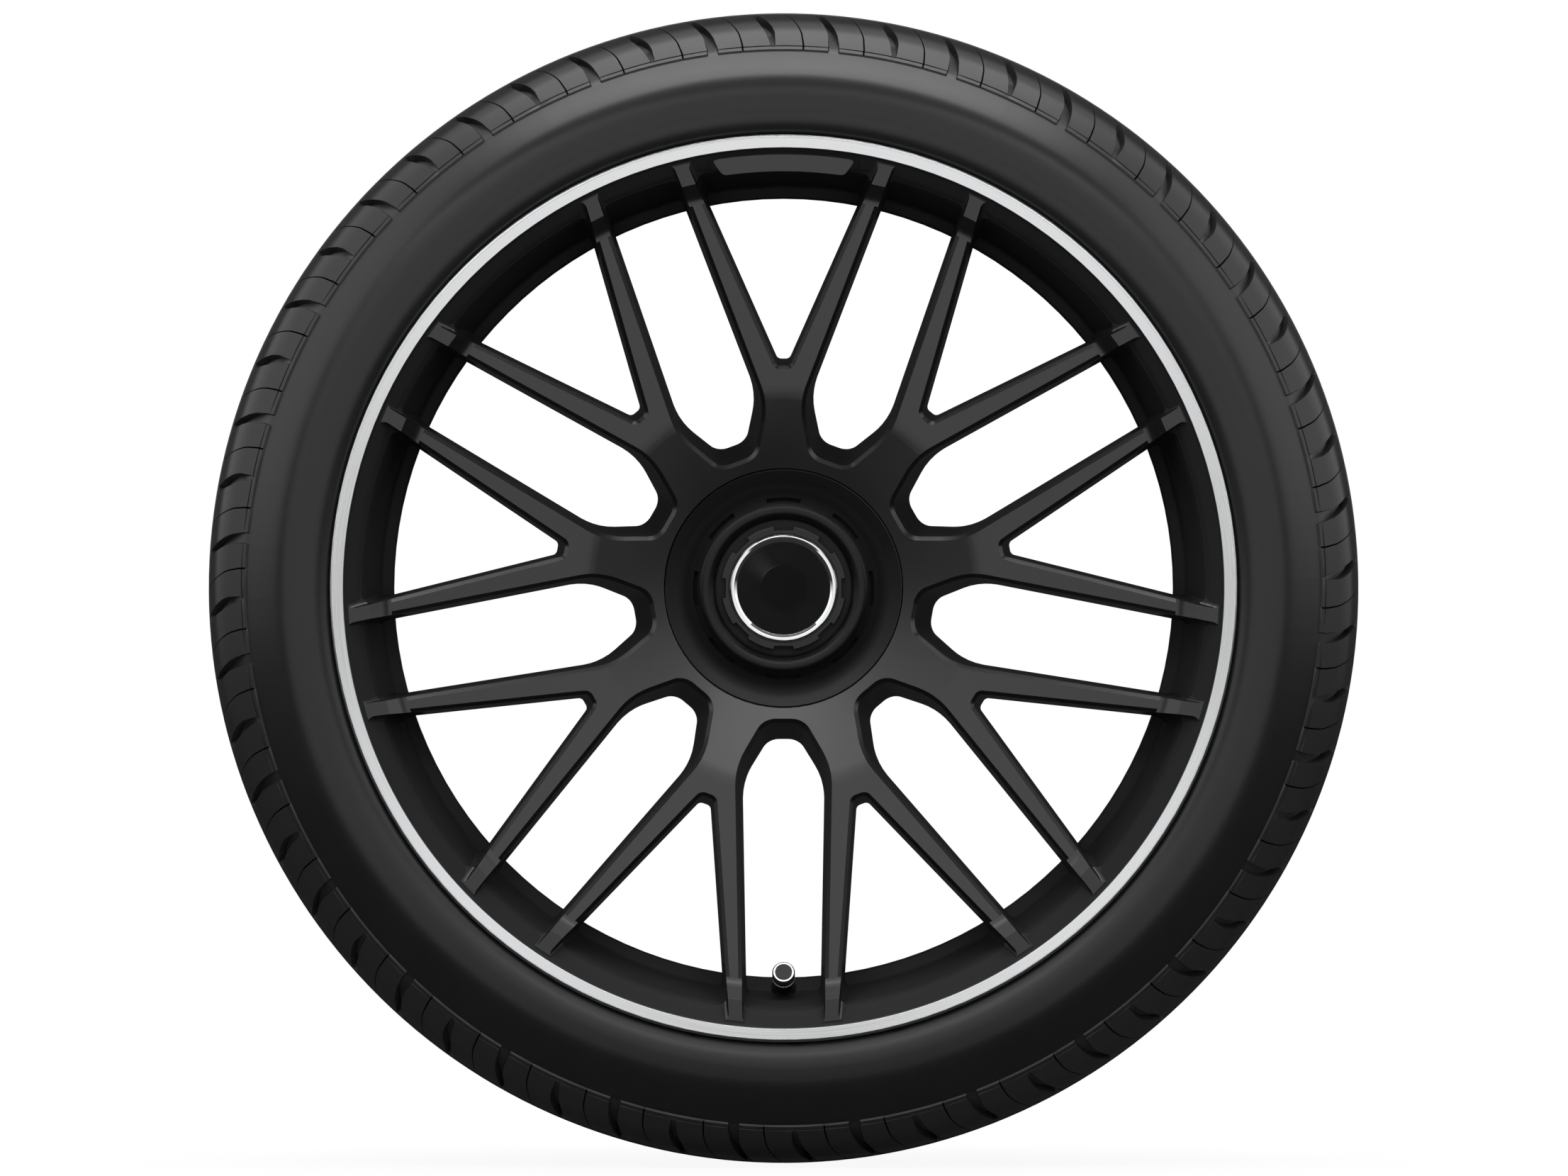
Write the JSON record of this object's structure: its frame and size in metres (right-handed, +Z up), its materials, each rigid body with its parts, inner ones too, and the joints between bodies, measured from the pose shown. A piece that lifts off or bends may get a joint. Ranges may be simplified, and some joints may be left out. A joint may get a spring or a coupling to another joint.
{
  "type": "car wheel with tyre",
  "caption": "Forged car wheel with forked spokes, low-profile tyre, locking hub cover and tyre valve; bolts to a hub on a centring bore.",
  "frame": {"origin": "centre of the wheel, where its axle meets the rim's mid-plane", "axes": "+Y along the axle towards the car, so the outboard face looks along -Y; +Z up, with the valve at the bottom"},
  "size_m": [0.7256, 0.275, 0.7258],
  "materials": {
    "wheel_paint": "satin black paint on forged aluminium, machined outer flange",
    "tyre_rubber": "moulded rubber",
    "cover_paint": "satin black",
    "nut_paint": "satin black anodised",
    "bright_chrome": "polished",
    "gloss_black": "gloss",
    "soft_rubber": "matt moulded",
    "valve_brass": "turned",
    "spring_steel": "bright",
    "cap_metal": "turned and knurled",
    "sensor_plastic": "moulded",
    "tape": "foam tape",
    "weight_metal": "coated"
  },
  "bodies": {
    "wheel": {"wheel": "wheel_paint", "tyre": "tyre_rubber", "hub_cover": "cover_paint", "cover_seal": "soft_rubber", "valve_rubber": "soft_rubber", "valve_stem": "valve_brass", "valve_core_body": "valve_brass", "valve_core_spring": "spring_steel", "sensor_housing": "sensor_plastic", "sensor_screw": "spring_steel", "weight_tape": "tape", "balance_weight_1": "weight_metal", "balance_weight_2": "weight_metal", "balance_weight_3": "weight_metal", "balance_weight_4": "weight_metal", "balance_weight_5": "weight_metal", "balance_weight_6": "weight_metal", "balance_weight_7": "weight_metal", "balance_weight_8": "weight_metal"},
    "cap_nut": {"cap_nut": "nut_paint", "nut_retaining_ring": "spring_steel", "trim_ring": "bright_chrome", "centre_disc": "gloss_black"},
    "cap_washer": {"valve_cap_seal": "soft_rubber"},
    "valve_cap": {"valve_cap": "cap_metal", "valve_cap_disc": "gloss_black"},
    "core_pin": {"valve_core_pin": "valve_brass", "valve_core_seal": "soft_rubber"}
  },
  "joints": [
    {"name": "nut_turn", "type": "hinge", "parent": "wheel", "child": "cap_nut", "pos_m": [0, 0, 0], "axis": [0, -1, 0], "range_deg": [0, 45]},
    {"name": "cap_travel", "type": "slide", "parent": "wheel", "child": "cap_washer", "axis": [0, -0.9135, 0.4067], "range_m": [0, 0.004]},
    {"name": "cap_unscrew", "type": "hinge", "parent": "cap_washer", "child": "valve_cap", "pos_m": [0, -0.07938, -0.2515], "axis": [0, -0.9135, 0.4067], "range_deg": [0, 1800]},
    {"name": "pin_press", "type": "slide", "parent": "wheel", "child": "core_pin", "axis": [0, 0.9135, -0.4067], "range_m": [0, 0.0012], "stiffness_N_per_m": 400, "springref_m": -0.002, "deforming": ["valve_core_spring"]}
  ],
  "couplings": [
    {"joint": "cap_travel", "follows": "cap_unscrew", "m_per_rad": 0.00012637}
  ]
}
